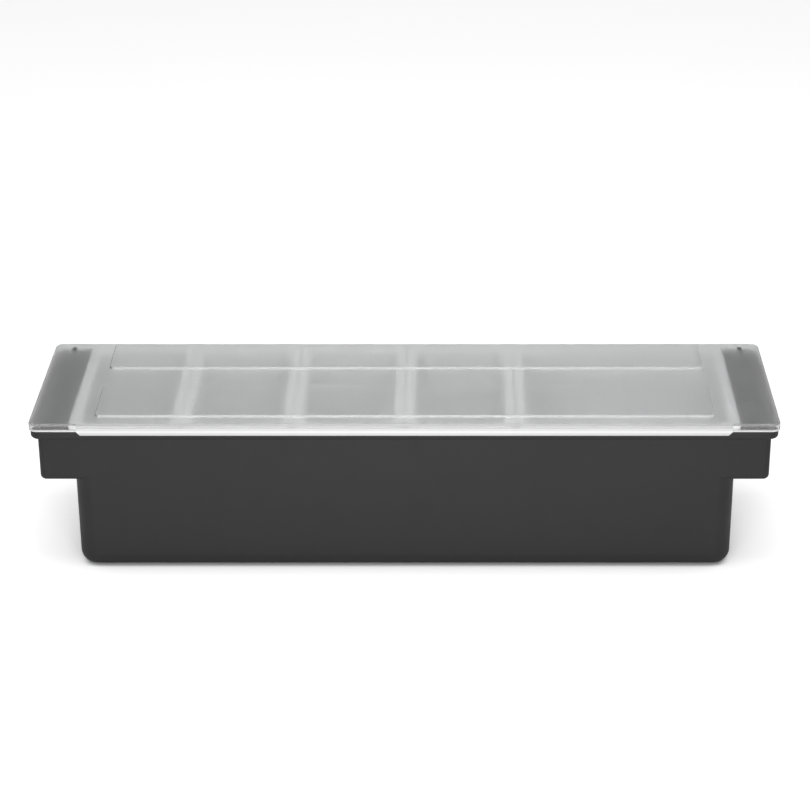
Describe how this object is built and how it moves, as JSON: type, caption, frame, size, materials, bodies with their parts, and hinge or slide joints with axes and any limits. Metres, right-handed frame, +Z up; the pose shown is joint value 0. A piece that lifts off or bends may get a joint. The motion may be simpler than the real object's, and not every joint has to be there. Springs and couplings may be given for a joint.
{
  "type": "bar garnish tray",
  "caption": "Long stepped bar tray with a hinged frosted lid over lift-out food inserts hung above an ice well.",
  "frame": {"origin": "under the middle of the tray, on the surface that it stands on", "axes": "+X runs along the tray to the right as seen from its front, +Y runs from the front lip to the hinge side, +Z is up"},
  "size_m": [0.5, 0.1564, 0.1089],
  "materials": {
    "black_abs": "fine matt moulded ABS",
    "frosted_cover": "frosted see-through sheet with a soft gloss",
    "milky_insert": "milky natural polypropylene"
  },
  "bodies": {
    "tray": {"housing": "black_abs"},
    "cover": {"lid": "frosted_cover"},
    "pan_1": {"insert_1": "milky_insert"},
    "pan_2": {"insert_2": "milky_insert"},
    "pan_3": {"insert_3": "milky_insert"},
    "pan_4": {"insert_4": "milky_insert"},
    "pan_5": {"insert_5_large": "milky_insert"}
  },
  "joints": [
    {"name": "lid_hinge", "type": "hinge", "parent": "tray", "child": "cover", "pos_m": [0, 0.0688, 0.0963], "axis": [-1, 0, 0], "range_deg": [0, 120]},
    {"name": "insert_1_lift", "type": "slide", "parent": "tray", "child": "pan_1", "axis": [0, 0, 1], "range_m": [0, 0.0018]},
    {"name": "insert_2_lift", "type": "slide", "parent": "tray", "child": "pan_2", "axis": [0, 0, 1], "range_m": [0, 0.0018]},
    {"name": "insert_3_lift", "type": "slide", "parent": "tray", "child": "pan_3", "axis": [0, 0, 1], "range_m": [0, 0.0018]},
    {"name": "insert_4_lift", "type": "slide", "parent": "tray", "child": "pan_4", "axis": [0, 0, 1], "range_m": [0, 0.0018]},
    {"name": "insert_5_lift", "type": "slide", "parent": "tray", "child": "pan_5", "axis": [0, 0, 1], "range_m": [0, 0.0018]}
  ]
}
